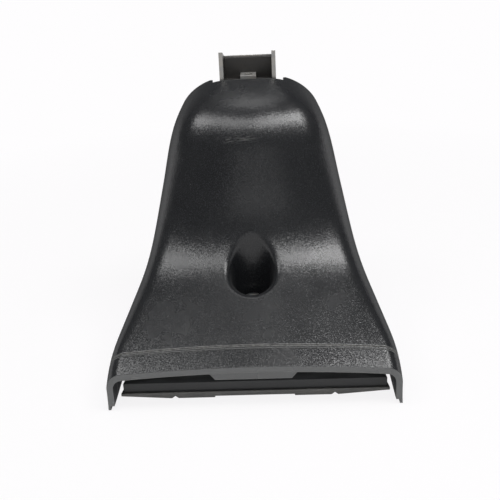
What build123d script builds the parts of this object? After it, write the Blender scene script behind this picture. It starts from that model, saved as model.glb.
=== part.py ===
"""Foot of a roof bar: a moulded hood over a folded steel bracket and an upright steel post.

Millimetres, +Z up, front of the foot towards -Y, middle of the width at X = 0.
Depths are measured back from the flat front end of the hood and turned into Y by front_y.
"""

import os
from math import acos, atan2, cos, hypot, radians, sin, sqrt, tan

from build123d import *

os.makedirs("parts", exist_ok=True)

# Overall depth, half of it in front of the origin
DEPTH = 130.0

# Hood: slopes of its front profile, in degrees above the level, and where they meet
LIP_HEIGHT = 20.7
FLARE_SLOPE = 29.8
WALL_SLOPE = 65.3
CROWN_SLOPE = 23.4
FLARE_RUN = 54.2
WALL_RUN = 27.3
WAIST_RADIUS = 58.0
SHOULDER_RADIUS = 38.0

# Hood: half widths along its length, the section corners and the bow of each section
SKIRT_HALF = 65.0
LIP_HALF = 64.3
WAIST_HALF = 52.2
CROWN_HALF = 39.9
TOP_HALF = 21.8
FLARE_BEND_RADIUS = 80.0
WAIST_BEND_RADIUS = 250.0
CROWN_BEND_RADIUS = 120.0
LIP_CORNER = 7.0
SHOULDER_CORNER = 21.2
TOP_CORNER = 20.0
LIP_BOW = 2.8
WAIST_BOW = 8.0
SHOULDER_BOW = 14.0
TOP_BOW = 0.8
BOW_BEND_RADIUS = 100.0
HOOD_WALL = 2.8

# Hood: the leaning planes that carry its sections
SECTION_TILT = 30.0
SECTION_COUNT = 16
HOOD_END = 190.0
LIP_STATION = 24.0
WAIST_STATION = 68.0
SHOULDER_STATION = 125.0
CROWN_STATION = 135.0
REAR_STATION = 160.0

# Hood: edges and small features
CROWN_DEPTH = 110.2
SKIRT_GAP = 0.4
SKIRT_RISE = 3.0
NOTCH_WIDTH = 35.4
NOTCH_DEPTH = 2.6
EAR_ROUND = 1.2
GROOVE_FROM_FRONT = 8.4
GROOVE_WIDTH = 1.3
GROOVE_DEPTH = 0.6
REBATE_HEIGHT = 2.0
REBATE_LIP = 1.2
TONGUE_WIDE = 42.5
TONGUE_NARROW = 33.5
TONGUE_DROP = 4.2
TONGUE_THICK = 2.4
TONGUE_SETBACK = 1.6
RIB_THICK = 1.8
RIB_X = 37.0
RIB_FOOT = 14.0
RIB_SETBACK = 14.0
RIB_REACH = 66.0

# Key pocket in the hood, over the fixing screw
SCREW_DEPTH = 45.0
POCKET_FLOOR = 21.0
POCKET_FLOOR_THICK = 2.4
POCKET_RADIUS = 8.6
POCKET_DRAFT = 4.3
POCKET_WALL = 2.4
POCKET_ROUND = 3.2
POCKET_HOLE_RADIUS = 7.0

# Rubber sole
PAD_THICK = 3.0
PAD_RELIEF = 0.7
PAD_RELIEF_HALF = 18.0
PAD_NOTCH_X = 36.0
PAD_NOTCH_HALF = 1.5
PAD_NOTCH_DEPTH = 1.2
PAD_END_RISE = 1.7
PAD_END_ROUND = 2.0

# Hard carrier above the sole
SHOE_THICK = 7.0
SHOE_STEP = 1.0
SHOE_SETBACK = 8.6
SHOE_LENGTH = 92.0
SHOE_FRONT_WIDTH = 121.0
SHOE_REAR_WIDTH = 96.0
SHOE_CORNER = 8.0
SHOE_CHAMFER = 2.5
SHOE_SCREW_WELL = 8.0

# Folded steel bracket
PLATE_THICK = 2.5
PLATE_FRONT = 24.0
PLATE_HALF = 30.0
PLATE_NECK = 94.0
PLATE_CORNER = 6.0
CHEEK_HEIGHT = 40.0
CHEEK_LENGTH = 26.0
CHEEK_CORNER = 8.0
BEND_RADIUS = 2.4

# Upright post
POST_WIDTH = 28.5
POST_SHEET = 2.0
POST_REAR = 126.0
POST_TOP = 135.3
POST_WEB_DROP = 4.6
POST_TOP_REACH = 15.0
POST_FOOT_REACH = 24.0
POST_CORNER = 3.0
POST_SIDE_GAP = 0.1

# Nut holder at the top of the post: a lining of the web and a shelf with the square nut
HOLDER_RECESS = 2.5
HOLDER_LINING = 2.0
HOLDER_TOP_DROP = 0.3
HOLDER_SIDE_GAP = 0.1
SHELF_HEIGHT = 19.0
NUT_SIZE = 8.0
NUT_THICK = 4.0
NUT_TOP_DROP = 12.6
NUT_SUNK = 1.0
NUT_BORE_RADIUS = 2.1
NUT_FIT = 0.15
BAR_BOLT_HOLE_RADIUS = 2.8
BAR_BOLT_REACH = 9.0
PIN_RADIUS = 2.0
PIN_FIT = 0.05
PIN_FROM_FOOT = 4.0

# Fixing screw
SCREW_RADIUS = 3.0
SCREW_LENGTH = 25.0
SCREW_TIP_HEIGHT = 0.5
SCREW_TIP_CHAMFER = 0.8
HEAD_RADIUS = 5.0
HEAD_HEIGHT = 6.0
HEAD_CHAMFER = 0.5
KEY_ACROSS_FLATS = 5.0
KEY_DEPTH = 3.2
WASHER_RADIUS = 6.2
WASHER_THICK = 1.6
WASHER_BORE_GAP = 0.05
BUSH_RADIUS = 5.0
BUSH_FLANGE_RADIUS = 8.0
BUSH_FLANGE = 2.0
BUSH_BELOW_PLATE = 1.0
BUSH_FIT = 0.05
PAD_HOLE_RADIUS = 5.0

# Cross bolts that hold the post between the cheeks
CROSS_RADIUS = 3.0
CROSS_HOLE_GAP = 0.2
CROSS_DEPTH = 114.0
CROSS_LOW = 12.0
CROSS_PITCH = 17.0
CROSS_HEAD_FLATS = 10.0
CROSS_HEAD = 4.0
CROSS_NUT = 5.0
CROSS_END = 2.0
CROSS_WASHER_RADIUS = 6.0
CROSS_WASHER = 1.6
SPACER_RADIUS = 5.0

# Screws from below into the posts of the hood, and screws from above into the carrier
BOSS_X = 22.0
BOSS_DEPTH = 68.0
BOSS_RADIUS = 4.5
COVER_SCREW_RADIUS = 2.0
COVER_SCREW_REACH = 14.0
COVER_SCREW_HEAD_RADIUS = 4.0
COVER_SCREW_HEAD = 2.4
COVER_SCREW_WELL_GAP = 1.0
SHOE_SCREW_RADIUS = 2.0
SHOE_SCREW_REACH = 6.0
SHOE_SCREW_HEAD_RADIUS = 4.2
SHOE_SCREW_HEAD = 2.6
SHOE_SCREW_X = 22.0
SHOE_SCREW_FRONT = 33.0
SHOE_SCREW_REAR = 86.0
SCREW_FIT = 0.05
SCREW_DRIVE_FLATS = 2.5
SCREW_DRIVE_DEPTH = 1.4

# Heights and places that follow
FRONT = -DEPTH / 2
SHOE_BOTTOM = PAD_THICK
PLATE_BOTTOM = SHOE_BOTTOM + SHOE_THICK
PLATE_TOP = PLATE_BOTTOM + PLATE_THICK
PLATE_REAR = POST_REAR
CHEEK_FRONT = PLATE_REAR - CHEEK_LENGTH
POST_FRONT_TOP = POST_REAR - POST_TOP_REACH
POST_FRONT_FOOT = POST_REAR - POST_FOOT_REACH
POST_HALF = POST_WIDTH / 2
POST_INNER_HALF = POST_HALF - POST_SHEET
CHEEK_INNER = POST_HALF + POST_SIDE_GAP
CHEEK_OUTER = CHEEK_INNER + PLATE_THICK
CROSS_HEIGHTS = [PLATE_TOP + CROSS_LOW, PLATE_TOP + CROSS_LOW + CROSS_PITCH]
HEAD_SEAT = SCREW_TIP_HEIGHT + SCREW_LENGTH
WEB_TOP = POST_TOP - POST_WEB_DROP
WEB_FRONT = POST_REAR - POST_SHEET
LINING_FRONT = WEB_FRONT - HOLDER_LINING
NUT_FOOT = POST_TOP - NUT_TOP_DROP - NUT_THICK
NUT_DEPTH = LINING_FRONT - NUT_SIZE / 2
SHELF_TOP = NUT_FOOT + NUT_SUNK
SHELF_FOOT = SHELF_TOP - SHELF_HEIGHT
SHELF_FRONT = POST_FRONT_TOP + HOLDER_RECESS
PIN_HEIGHT = SHELF_FOOT + PIN_FROM_FOOT
TILT = radians(SECTION_TILT)


def front_y(depth):
    """Turns a depth behind the front end of the hood into Y."""
    return FRONT + depth


def along(depth, height):
    """Distance of a point along the line that the hood's section planes stand on."""
    return depth * sin(TILT) + height * cos(TILT)


def above(depth, height):
    """Height of a point inside its section plane."""
    return height * sin(TILT) - depth * cos(TILT)


def rounded(points, radii, at):
    """Value at one place of an open outline whose inner corners are rounded by arcs."""
    start = points[0]
    for before, corner, after, radius in zip(points, points[1:], points[2:], radii):
        length_in = hypot(corner[0] - before[0], corner[1] - before[1])
        length_out = hypot(after[0] - corner[0], after[1] - corner[1])
        run_in = ((corner[0] - before[0]) / length_in, (corner[1] - before[1]) / length_in)
        run_out = ((after[0] - corner[0]) / length_out, (after[1] - corner[1]) / length_out)
        turn = acos(min(1.0, run_in[0] * run_out[0] + run_in[1] * run_out[1]))
        side = 1 if run_in[0] * run_out[1] > run_in[1] * run_out[0] else -1
        tangent = radius * tan(turn / 2)
        arc_from = (corner[0] - tangent * run_in[0], corner[1] - tangent * run_in[1])
        arc_to = (corner[0] + tangent * run_out[0], corner[1] + tangent * run_out[1])
        centre = (arc_from[0] - side * radius * run_in[1], arc_from[1] + side * radius * run_in[0])
        if at <= arc_from[0]:
            return start[1] + (arc_from[1] - start[1]) * (at - start[0]) / (arc_from[0] - start[0])
        if at <= arc_to[0]:
            return centre[1] - side * sqrt(radius**2 - (at - centre[0]) ** 2)
        start = arc_to
    end = points[-1]
    return start[1] + (end[1] - start[1]) * (at - start[0]) / (end[0] - start[0])


# Corners of the hood's front profile, as depth and height
flare_rise = tan(radians(FLARE_SLOPE))
waist_corner = (FLARE_RUN, LIP_HEIGHT + FLARE_RUN * flare_rise)
shoulder_corner = (
    waist_corner[0] + WALL_RUN,
    waist_corner[1] + WALL_RUN * tan(radians(WALL_SLOPE)),
)
profile_front = (-FLARE_RUN, LIP_HEIGHT - FLARE_RUN * flare_rise)
profile_rear = (DEPTH, shoulder_corner[1] + (DEPTH - shoulder_corner[0]) * tan(radians(CROWN_SLOPE)))
profile = [
    (along(*point), above(*point))
    for point in (profile_front, waist_corner, shoulder_corner, profile_rear)
]
half_widths = [
    (0, SKIRT_HALF),
    (LIP_STATION, LIP_HALF),
    (WAIST_STATION, WAIST_HALF),
    (CROWN_STATION, CROWN_HALF),
    (HOOD_END, TOP_HALF),
]
corner_radii = [
    (0, LIP_CORNER),
    (LIP_STATION, LIP_CORNER),
    (SHOULDER_STATION, SHOULDER_CORNER),
    (HOOD_END, TOP_CORNER),
]
bows = [
    (0, LIP_BOW),
    (LIP_STATION, LIP_BOW),
    (WAIST_STATION, WAIST_BOW),
    (SHOULDER_STATION, SHOULDER_BOW),
    (REAR_STATION, TOP_BOW),
    (HOOD_END, TOP_BOW),
]
section_floor = above(DEPTH, 0) - SKIRT_HALF


def hood_height(depth):
    """Height of the hood's outer face above its middle line at a depth."""
    low, high = 0.0, POST_TOP * 2
    for _ in range(50):
        middle = (low + high) / 2
        if above(depth, middle) < rounded(profile, [WAIST_RADIUS, SHOULDER_RADIUS], along(depth, middle)):
            low = middle
        else:
            high = middle
    return low


def hood_section(station, inset):
    """Draws one leaning section of the hood, set in from the outer face."""
    crown = rounded(profile, [WAIST_RADIUS, SHOULDER_RADIUS], station) - inset
    bends = [FLARE_BEND_RADIUS, WAIST_BEND_RADIUS, CROWN_BEND_RADIUS]
    half = rounded(half_widths, bends, station) - inset
    corner = rounded(corner_radii, [LIP_CORNER, SHOULDER_CORNER], station) - inset
    rise = rounded(bows, [BOW_BEND_RADIUS] * (len(bows) - 2), station)
    bow = (half**2 + rise**2) / (2 * rise)
    corner_x = half - corner
    corner_y = crown - bow + sqrt((bow - corner) ** 2 - corner_x**2)
    meet = atan2(corner_y - crown + bow, corner_x)
    meet_point = (corner_x + corner * cos(meet), corner_y + corner * sin(meet))
    middle_point = (corner_x + corner * cos(meet / 2), corner_y + corner * sin(meet / 2))
    plane = Plane(
        origin=(0, FRONT + station * sin(TILT), station * cos(TILT)),
        x_dir=(1, 0, 0),
        z_dir=(0, -sin(TILT), -cos(TILT)),
    )
    with BuildSketch(plane) as section:
        with BuildLine():
            ThreePointArc((-meet_point[0], meet_point[1]), (0, crown), meet_point)
            ThreePointArc(meet_point, middle_point, (half, corner_y))
            Line((half, corner_y), (half, section_floor))
            Line((half, section_floor), (-half, section_floor))
            Line((-half, section_floor), (-half, corner_y))
            ThreePointArc(
                (-half, corner_y),
                (-middle_point[0], middle_point[1]),
                (-meet_point[0], meet_point[1]),
            )
        make_face()
    return section.sketch


def hood_form(inset):
    """Lofts the closed form of the hood, set in from the outer face."""
    stations = [HOOD_END * (step - 1) / (SECTION_COUNT - 1) for step in range(SECTION_COUNT + 1)]
    with BuildPart(mode=Mode.PRIVATE) as form:
        loft([hood_section(station, inset) for station in stations])
    return form.part


pocket_y = front_y(SCREW_DEPTH)
pocket_spread = tan(radians(POCKET_DRAFT))
pocket_top = hood_height(SCREW_DEPTH + POCKET_RADIUS) + SHOULDER_RADIUS
pocket_top_radius = POCKET_RADIUS + (pocket_top - POCKET_FLOOR) * pocket_spread
pocket_foot = POCKET_FLOOR - POCKET_FLOOR_THICK
boss_places = [(side * BOSS_X, front_y(BOSS_DEPTH)) for side in (-1, 1)]
outer_form = hood_form(0)

# Space inside the hood, less the pocket's wall, the ribs and the screw posts that stand in it
with BuildPart() as hood_space:
    add(hood_form(HOOD_WALL))
    with Locations((0, pocket_y, pocket_foot)):
        Cone(
            POCKET_RADIUS + POCKET_WALL,
            pocket_top_radius + POCKET_WALL,
            pocket_top - pocket_foot,
            align=(Align.CENTER, Align.CENTER, Align.MIN),
            mode=Mode.SUBTRACT,
        )
    with BuildSketch(Plane.XY.offset(PLATE_TOP)):
        with Locations(*boss_places):
            Circle(BOSS_RADIUS)
    extrude(amount=POST_TOP, mode=Mode.SUBTRACT)
    with BuildSketch(Plane.XY.offset(RIB_FOOT)):
        with Locations((-RIB_X, front_y(RIB_SETBACK)), (RIB_X, front_y(RIB_SETBACK))):
            Rectangle(RIB_THICK, RIB_REACH - RIB_SETBACK, align=(Align.CENTER, Align.MIN))
    extrude(amount=POST_TOP, mode=Mode.SUBTRACT)

# Cutter for the line that runs over the hood behind its lip
with BuildPart() as groove_cutter:
    with BuildSketch(Plane.XZ.offset(-front_y(GROOVE_FROM_FRONT))):
        Rectangle(DEPTH * 2, DEPTH * 2)
    extrude(amount=-GROOVE_WIDTH)
    add(hood_form(GROOVE_DEPTH), mode=Mode.SUBTRACT)

# Cutter for the step along the lower edge of the skirts
with BuildPart() as rebate_cutter:
    add(hood_form(REBATE_LIP))
    with BuildSketch(Plane.YZ):
        with BuildLine():
            Polyline(
                (front_y(0), 0),
                (front_y(DEPTH), 0),
                (front_y(DEPTH), SKIRT_GAP + SKIRT_RISE + REBATE_HEIGHT),
                (front_y(0), SKIRT_GAP + REBATE_HEIGHT),
                close=True,
            )
        make_face()
    extrude(amount=SKIRT_HALF * 2, both=True, mode=Mode.INTERSECT)

# Hood: the lofted form, trimmed to its front, rear and lower edges, then hollowed
with BuildPart() as cover:
    add(outer_form)
    with BuildSketch(Plane.YZ):
        with BuildLine():
            Polyline(
                (front_y(0), SKIRT_GAP),
                (front_y(DEPTH), SKIRT_GAP + SKIRT_RISE),
                (front_y(CROWN_DEPTH), hood_height(CROWN_DEPTH)),
                (front_y(CROWN_DEPTH), POST_TOP * 2),
                (front_y(0), POST_TOP * 2),
                close=True,
            )
        make_face()
    extrude(amount=SKIRT_HALF * 2, both=True, mode=Mode.INTERSECT)
    add(hood_space.part, mode=Mode.SUBTRACT)
    add(groove_cutter.part, mode=Mode.SUBTRACT)
    add(rebate_cutter.part, mode=Mode.SUBTRACT)
    # Key pocket with a round rim, and the hole for the screw in its floor
    with Locations((0, pocket_y, POCKET_FLOOR)):
        Cone(
            POCKET_RADIUS,
            pocket_top_radius,
            pocket_top - POCKET_FLOOR,
            align=(Align.CENTER, Align.CENTER, Align.MIN),
            mode=Mode.SUBTRACT,
        )
    fillet(cover.edges(Select.LAST).filter_by(GeomType.BSPLINE), POCKET_ROUND)
    with BuildSketch(Plane.XY.offset(pocket_foot)):
        with Locations((0, pocket_y)):
            Circle(POCKET_HOLE_RADIUS)
    extrude(amount=POCKET_FLOOR_THICK, mode=Mode.SUBTRACT)
    # Straight notch in the rear edge of the crown, where the post passes, with round ears beside it
    with BuildSketch(Plane((0, front_y(CROWN_DEPTH), hood_height(CROWN_DEPTH) / 2))):
        with BuildLine():
            Polyline((0, -NOTCH_DEPTH), (NOTCH_WIDTH / 2, -NOTCH_DEPTH), (NOTCH_WIDTH / 2, -EAR_ROUND))
            TangentArc((NOTCH_WIDTH / 2, -EAR_ROUND), (NOTCH_WIDTH / 2 + EAR_ROUND, 0), tangent=(0, 1))
            Polyline(
                (NOTCH_WIDTH / 2 + EAR_ROUND, 0),
                (NOTCH_WIDTH / 2 + EAR_ROUND, NOTCH_DEPTH),
                (0, NOTCH_DEPTH),
                (0, -NOTCH_DEPTH),
            )
        make_face()
        mirror(about=Plane.YZ)
    extrude(amount=POST_TOP, mode=Mode.SUBTRACT)
    # Pilot holes in the screw posts
    with BuildSketch(Plane.XY.offset(PLATE_TOP)):
        with Locations(*boss_places):
            Circle(COVER_SCREW_RADIUS + SCREW_FIT)
    extrude(amount=COVER_SCREW_REACH + COVER_SCREW_RADIUS, mode=Mode.SUBTRACT)
    # Tongue under the middle of the lip
    with BuildSketch(Plane.XZ.offset(-front_y(TONGUE_SETBACK))):
        with BuildLine():
            Polyline(
                (-TONGUE_WIDE / 2, LIP_HEIGHT - HOOD_WALL / 2),
                (TONGUE_WIDE / 2, LIP_HEIGHT - HOOD_WALL / 2),
                (TONGUE_NARROW / 2, LIP_HEIGHT - HOOD_WALL - TONGUE_DROP),
                (-TONGUE_NARROW / 2, LIP_HEIGHT - HOOD_WALL - TONGUE_DROP),
                close=True,
            )
        make_face()
    extrude(amount=-TONGUE_THICK)
cover.part.label = "cover"
export_step(cover.part, "parts/cover.step")


def shoe_outline():
    """Draws the outline that the carrier and the sole share."""
    with BuildSketch() as outline:
        with BuildLine():
            Polyline(
                (-SHOE_FRONT_WIDTH / 2, front_y(SHOE_SETBACK)),
                (SHOE_FRONT_WIDTH / 2, front_y(SHOE_SETBACK)),
                (SHOE_REAR_WIDTH / 2, front_y(SHOE_SETBACK + SHOE_LENGTH)),
                (-SHOE_REAR_WIDTH / 2, front_y(SHOE_SETBACK + SHOE_LENGTH)),
                close=True,
            )
        make_face()
        fillet(outline.vertices().group_by(Axis.Y)[-1], SHOE_CORNER)
    return outline.sketch


shoe_screw_places = [
    (side * SHOE_SCREW_X, front_y(depth))
    for side in (-1, 1)
    for depth in (SHOE_SCREW_FRONT, SHOE_SCREW_REAR)
]

# Rubber sole: relieved in the middle, notched across, its ends rising
with BuildPart() as roof_pad:
    with BuildSketch():
        add(shoe_outline())
    extrude(amount=PAD_THICK)
    low_outline = roof_pad.edges().group_by(Axis.Z)[0]
    fillet(low_outline - low_outline.filter_by(Axis.X), PAD_END_ROUND)
    with BuildSketch(Plane.XZ.offset(-front_y(0))):
        with BuildLine():
            Polyline(
                (0, -PAD_THICK),
                (SHOE_FRONT_WIDTH, -PAD_THICK),
                (SHOE_FRONT_WIDTH, PAD_END_RISE),
                (SHOE_FRONT_WIDTH / 2, PAD_END_RISE),
                (PAD_NOTCH_X + PAD_NOTCH_HALF, 0),
                (PAD_NOTCH_X, PAD_NOTCH_DEPTH),
                (PAD_NOTCH_X - PAD_NOTCH_HALF, 0),
                (PAD_RELIEF_HALF, 0),
                (PAD_RELIEF_HALF, PAD_RELIEF),
                (0, PAD_RELIEF),
                close=True,
            )
        make_face()
        mirror(about=Plane.YZ)
    extrude(amount=-DEPTH, mode=Mode.SUBTRACT)
    with BuildSketch():
        with Locations((0, pocket_y)):
            Circle(PAD_HOLE_RADIUS)
    extrude(amount=PAD_THICK, mode=Mode.SUBTRACT)
roof_pad.part.label = "roof_pad"
export_step(roof_pad.part, "parts/roof_pad.step")

# Hard carrier: a plate with wells for the fixing screw and for the screws of the hood
with BuildPart() as shoe:
    with BuildSketch(Plane.XY.offset(SHOE_BOTTOM)):
        add(shoe_outline())
        offset(amount=-SHOE_STEP)
    extrude(amount=SHOE_THICK)
    chamfer(shoe.edges().group_by(Axis.Z)[-1], SHOE_CHAMFER)
    with BuildSketch(Plane.XY.offset(SHOE_BOTTOM)):
        with Locations((0, pocket_y)):
            Circle(SHOE_SCREW_WELL)
        with Locations(*boss_places):
            Circle(COVER_SCREW_HEAD_RADIUS + COVER_SCREW_WELL_GAP)
    extrude(amount=SHOE_THICK, mode=Mode.SUBTRACT)
    with BuildSketch(Plane.XY.offset(PLATE_BOTTOM)):
        with Locations(*shoe_screw_places):
            Circle(SHOE_SCREW_RADIUS + SCREW_FIT)
    extrude(amount=-SHOE_SCREW_REACH, mode=Mode.SUBTRACT)
shoe.part.label = "shoe"
export_step(shoe.part, "parts/shoe.step")

# Folded bracket: a flat plate whose rear is turned up into two cheeks
cheek_top = PLATE_TOP + CHEEK_HEIGHT
with BuildPart() as base_bracket:
    with BuildSketch(Plane.XY.offset(PLATE_BOTTOM)) as plate_outline:
        with BuildLine():
            Polyline(
                (-PLATE_HALF, front_y(PLATE_FRONT)),
                (PLATE_HALF, front_y(PLATE_FRONT)),
                (PLATE_HALF, front_y(PLATE_NECK)),
                (CHEEK_OUTER, front_y(CHEEK_FRONT)),
                (CHEEK_OUTER, front_y(PLATE_REAR)),
                (-CHEEK_OUTER, front_y(PLATE_REAR)),
                (-CHEEK_OUTER, front_y(CHEEK_FRONT)),
                (-PLATE_HALF, front_y(PLATE_NECK)),
                close=True,
            )
        make_face()
        fillet(plate_outline.vertices().group_by(Axis.Y)[0], PLATE_CORNER)
    extrude(amount=PLATE_THICK)
    with BuildSketch(Plane.YZ.offset(-CHEEK_OUTER)) as cheek_outline:
        with BuildLine():
            Polyline(
                (front_y(CHEEK_FRONT), PLATE_TOP),
                (front_y(PLATE_REAR), PLATE_TOP),
                (front_y(PLATE_REAR), cheek_top),
                (front_y(CHEEK_FRONT), cheek_top),
                close=True,
            )
        make_face()
        fillet(cheek_outline.vertices().group_by(Axis.Y)[-1], CHEEK_CORNER)
    extrude(amount=CHEEK_OUTER * 2)
    with BuildSketch(Plane.XY.offset(PLATE_TOP)):
        with Locations((0, front_y((CHEEK_FRONT + PLATE_REAR) / 2))):
            Rectangle(CHEEK_INNER * 2, PLATE_REAR - CHEEK_FRONT)
    extrude(amount=CHEEK_HEIGHT, mode=Mode.SUBTRACT)
    low_edges = base_bracket.edges().filter_by(Axis.Y).group_by(Axis.Z)[0]
    fillet(low_edges.filter_by_position(Axis.Y, front_y(CHEEK_FRONT), front_y(PLATE_REAR)), BEND_RADIUS)
    with BuildSketch(Plane.YZ.offset(-CHEEK_OUTER)):
        with Locations(*[(front_y(CROSS_DEPTH), height) for height in CROSS_HEIGHTS]):
            Circle(CROSS_RADIUS + CROSS_HOLE_GAP)
    extrude(amount=CHEEK_OUTER * 2, mode=Mode.SUBTRACT)
    with BuildSketch(Plane.XY.offset(PLATE_BOTTOM)):
        with Locations((0, pocket_y)):
            Circle(BUSH_RADIUS + BUSH_FIT)
        with Locations(*boss_places):
            Circle(COVER_SCREW_RADIUS + CROSS_HOLE_GAP)
        with Locations(*shoe_screw_places):
            Circle(SHOE_SCREW_RADIUS + CROSS_HOLE_GAP)
    extrude(amount=PLATE_THICK, mode=Mode.SUBTRACT)
base_bracket.part.label = "base_bracket"
export_step(base_bracket.part, "parts/base_bracket.step")

# Post: a channel open to the front, its flanges narrowing upwards and cut at a slant
with BuildPart() as post:
    with BuildSketch(Plane.YZ.offset(-POST_HALF)):
        with BuildLine():
            Polyline(
                (front_y(POST_FRONT_FOOT), PLATE_TOP),
                (front_y(POST_REAR), PLATE_TOP),
                (front_y(POST_REAR), WEB_TOP),
                (front_y(POST_FRONT_TOP), POST_TOP),
                close=True,
            )
        make_face()
    extrude(amount=POST_WIDTH)
    fillet(post.edges().filter_by(Axis.Z).group_by(Axis.Y)[-1], POST_CORNER)
    with BuildSketch(Plane.XY.offset(PLATE_TOP)):
        with Locations((0, front_y(WEB_FRONT))):
            Rectangle(POST_INNER_HALF * 2, WEB_FRONT, align=(Align.CENTER, Align.MAX))
    extrude(amount=POST_TOP, mode=Mode.SUBTRACT)
    with BuildSketch(Plane.YZ.offset(-POST_HALF)):
        with Locations(*[(front_y(CROSS_DEPTH), height) for height in CROSS_HEIGHTS]):
            Circle(CROSS_RADIUS + CROSS_HOLE_GAP)
        with Locations((front_y(NUT_DEPTH), PIN_HEIGHT)):
            Circle(PIN_RADIUS + PIN_FIT)
    extrude(amount=POST_WIDTH, mode=Mode.SUBTRACT)
post.part.label = "post"
export_step(post.part, "parts/post.step")

# Nut holder: a lining of the web with a shelf, slotted from the front for the nut
holder_width = (POST_INNER_HALF - HOLDER_SIDE_GAP) * 2
with BuildPart() as nut_holder:
    with BuildSketch(Plane.YZ):
        with BuildLine():
            Polyline(
                (front_y(SHELF_FRONT), SHELF_FOOT),
                (front_y(WEB_FRONT), SHELF_FOOT),
                (front_y(WEB_FRONT), WEB_TOP - HOLDER_TOP_DROP),
                (front_y(LINING_FRONT), WEB_TOP - HOLDER_TOP_DROP),
                (front_y(LINING_FRONT), SHELF_TOP),
                (front_y(SHELF_FRONT), SHELF_TOP),
                close=True,
            )
        make_face()
    extrude(amount=holder_width / 2, both=True)
    with BuildSketch(Plane.XY.offset(NUT_FOOT)):
        with Locations((0, front_y(LINING_FRONT))):
            Rectangle(NUT_SIZE + NUT_FIT * 2, POST_REAR, align=(Align.CENTER, Align.MAX))
    extrude(amount=NUT_SUNK, mode=Mode.SUBTRACT)
    with BuildSketch(Plane.XY.offset(NUT_FOOT)):
        with Locations((0, front_y(NUT_DEPTH))):
            Circle(BAR_BOLT_HOLE_RADIUS)
    extrude(amount=-BAR_BOLT_REACH, mode=Mode.SUBTRACT)
    with BuildSketch(Plane.YZ.offset(-POST_HALF)):
        with Locations((front_y(NUT_DEPTH), PIN_HEIGHT)):
            Circle(PIN_RADIUS + PIN_FIT)
    extrude(amount=POST_WIDTH, mode=Mode.SUBTRACT)
nut_holder.part.label = "nut_holder"
export_step(nut_holder.part, "parts/nut_holder.step")

# Square nut that takes the bolt of the bar from above
with BuildPart() as bar_nut:
    with BuildSketch(Plane.XY.offset(NUT_FOOT)):
        with Locations((0, front_y(NUT_DEPTH))):
            Rectangle(NUT_SIZE, NUT_SIZE)
            Circle(NUT_BORE_RADIUS, mode=Mode.SUBTRACT)
    extrude(amount=NUT_THICK)
bar_nut.part.label = "bar_nut"
export_step(bar_nut.part, "parts/bar_nut.step")

# Cross pin through the flanges and the nut holder
with BuildPart() as holder_pin:
    with BuildSketch(Plane.YZ.offset(-POST_HALF)):
        with Locations((front_y(NUT_DEPTH), PIN_HEIGHT)):
            Circle(PIN_RADIUS)
    extrude(amount=POST_WIDTH)
holder_pin.part.label = "holder_pin"
export_step(holder_pin.part, "parts/holder_pin.step")

# Fixing screw with a hexagon socket
with BuildPart() as fixing_screw:
    with BuildSketch(Plane.XY.offset(SCREW_TIP_HEIGHT)):
        with Locations((0, pocket_y)):
            Circle(SCREW_RADIUS)
    extrude(amount=SCREW_LENGTH)
    chamfer(fixing_screw.edges().group_by(Axis.Z)[0], SCREW_TIP_CHAMFER)
    with BuildSketch(Plane.XY.offset(HEAD_SEAT)):
        with Locations((0, pocket_y)):
            Circle(HEAD_RADIUS)
    extrude(amount=HEAD_HEIGHT)
    chamfer(fixing_screw.edges().group_by(Axis.Z)[-1], HEAD_CHAMFER)
    with BuildSketch(Plane.XY.offset(HEAD_SEAT + HEAD_HEIGHT)):
        with Locations((0, pocket_y)):
            RegularPolygon(KEY_ACROSS_FLATS / 2, 6, major_radius=False)
    extrude(amount=-KEY_DEPTH, mode=Mode.SUBTRACT)
fixing_screw.part.label = "fixing_screw"
export_step(fixing_screw.part, "parts/fixing_screw.step")

# Washer that stays under the head of the fixing screw
with BuildPart() as screw_washer:
    with BuildSketch(Plane.XY.offset(HEAD_SEAT - WASHER_THICK)):
        with Locations((0, pocket_y)):
            Circle(WASHER_RADIUS)
            Circle(SCREW_RADIUS + WASHER_BORE_GAP, mode=Mode.SUBTRACT)
    extrude(amount=WASHER_THICK)
screw_washer.part.label = "screw_washer"
export_step(screw_washer.part, "parts/screw_washer.step")

# Flanged bush in the plate that guides the fixing screw
with BuildPart() as screw_bush:
    with BuildSketch(Plane.XY.offset(PLATE_BOTTOM - BUSH_BELOW_PLATE)):
        with Locations((0, pocket_y)):
            Circle(BUSH_RADIUS)
    extrude(amount=BUSH_BELOW_PLATE + PLATE_THICK)
    with BuildSketch(Plane.XY.offset(PLATE_TOP)):
        with Locations((0, pocket_y)):
            Circle(BUSH_FLANGE_RADIUS)
    extrude(amount=BUSH_FLANGE)
    with BuildSketch(Plane.XY.offset(PLATE_BOTTOM - BUSH_BELOW_PLATE)):
        with Locations((0, pocket_y)):
            Circle(SCREW_RADIUS + BUSH_FIT)
    extrude(amount=BUSH_BELOW_PLATE + PLATE_THICK + BUSH_FLANGE, mode=Mode.SUBTRACT)
screw_bush.part.label = "screw_bush"
export_step(screw_bush.part, "parts/screw_bush.step")

cross_places = [(front_y(CROSS_DEPTH), height) for height in CROSS_HEIGHTS]
cross_nut_seat = CHEEK_OUTER + CROSS_WASHER

# Cross bolts, heads to the left
with BuildPart() as post_bolts:
    with BuildSketch(Plane.YZ.offset(-cross_nut_seat)):
        with Locations(*cross_places):
            Circle(CROSS_RADIUS)
    extrude(amount=cross_nut_seat * 2 + CROSS_NUT + CROSS_END)
    with BuildSketch(Plane.YZ.offset(-cross_nut_seat)):
        with Locations(*cross_places):
            RegularPolygon(CROSS_HEAD_FLATS / 2, 6, major_radius=False)
    extrude(amount=-CROSS_HEAD)
post_bolts.part.label = "post_bolts"
export_step(post_bolts.part, "parts/post_bolts.step")

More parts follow.
